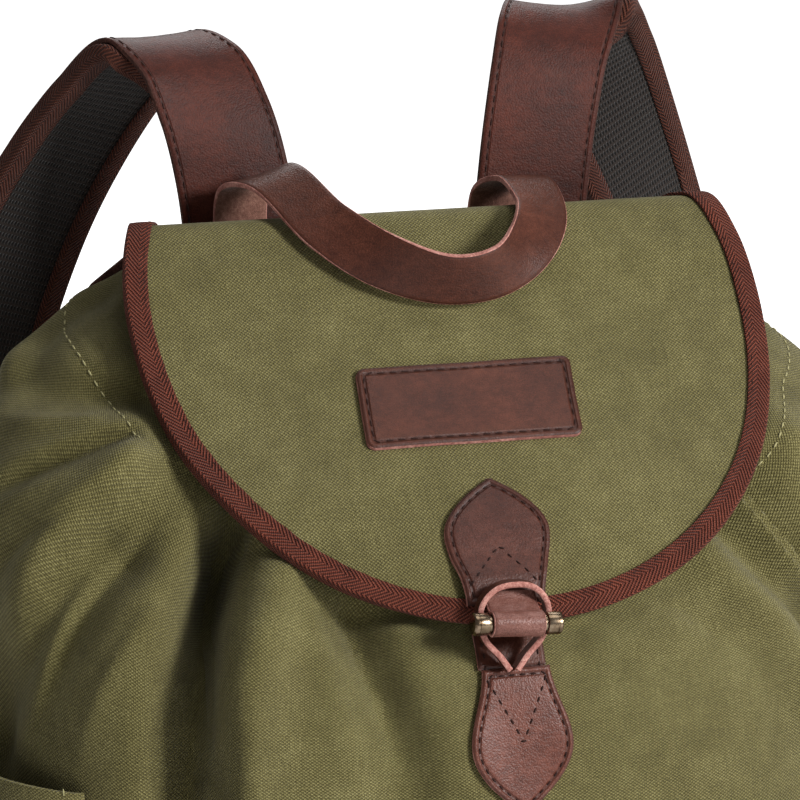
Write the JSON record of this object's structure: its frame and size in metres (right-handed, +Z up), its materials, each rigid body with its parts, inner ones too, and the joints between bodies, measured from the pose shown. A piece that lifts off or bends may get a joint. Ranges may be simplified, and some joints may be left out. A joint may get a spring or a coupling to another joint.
{
  "type": "canvas rucksack",
  "caption": "Soft olive canvas rucksack with a rounded flap bound in twill tape, leather shoulder straps and carry handle, and a toggle and loop closure",
  "frame": {"origin": "middle of the flat base that the bag stands on", "axes": "+Z up, -Y towards the front with the flap and toggle, +X to the right of someone facing the front"},
  "size_m": [0.4729, 0.3068, 0.5152],
  "materials": {
    "canvas": "olive plain-weave cotton canvas, matt",
    "leather": "dark brown leather with a soft sheen and raw pinkish edges",
    "tape": "red-brown herringbone twill tape, matt",
    "mesh": "black spacer mesh over a thin pad",
    "bronze": "antique bronze, satin"
  },
  "bodies": {
    "root": {"sack_front": "canvas", "sack_front_top": "canvas", "sack_side_left": "canvas", "sack_side_left_top": "canvas", "sack_side_right": "canvas", "sack_side_right_top": "canvas", "base_panel": "canvas", "back_panel": "canvas", "back_yoke": "leather", "flap": "canvas", "flap_tape": "tape", "label_patch": "leather", "flap_tab": "leather", "toggle_bar": "bronze", "toggle_tongue": "leather", "body_tab": "leather", "closure_neck": "leather", "closure_loop": "leather", "carry_handle": "leather", "strap_leather_left": "leather", "strap_pad_left": "mesh", "strap_tape_outer_left": "tape", "strap_tape_inner_left": "tape", "lower_strap_left": "leather", "side_pocket_left": "canvas", "strap_leather_right": "leather", "strap_pad_right": "mesh", "strap_tape_outer_right": "tape", "strap_tape_inner_right": "tape", "lower_strap_right": "leather", "side_pocket_right": "canvas"}
  },
  "joints": []
}
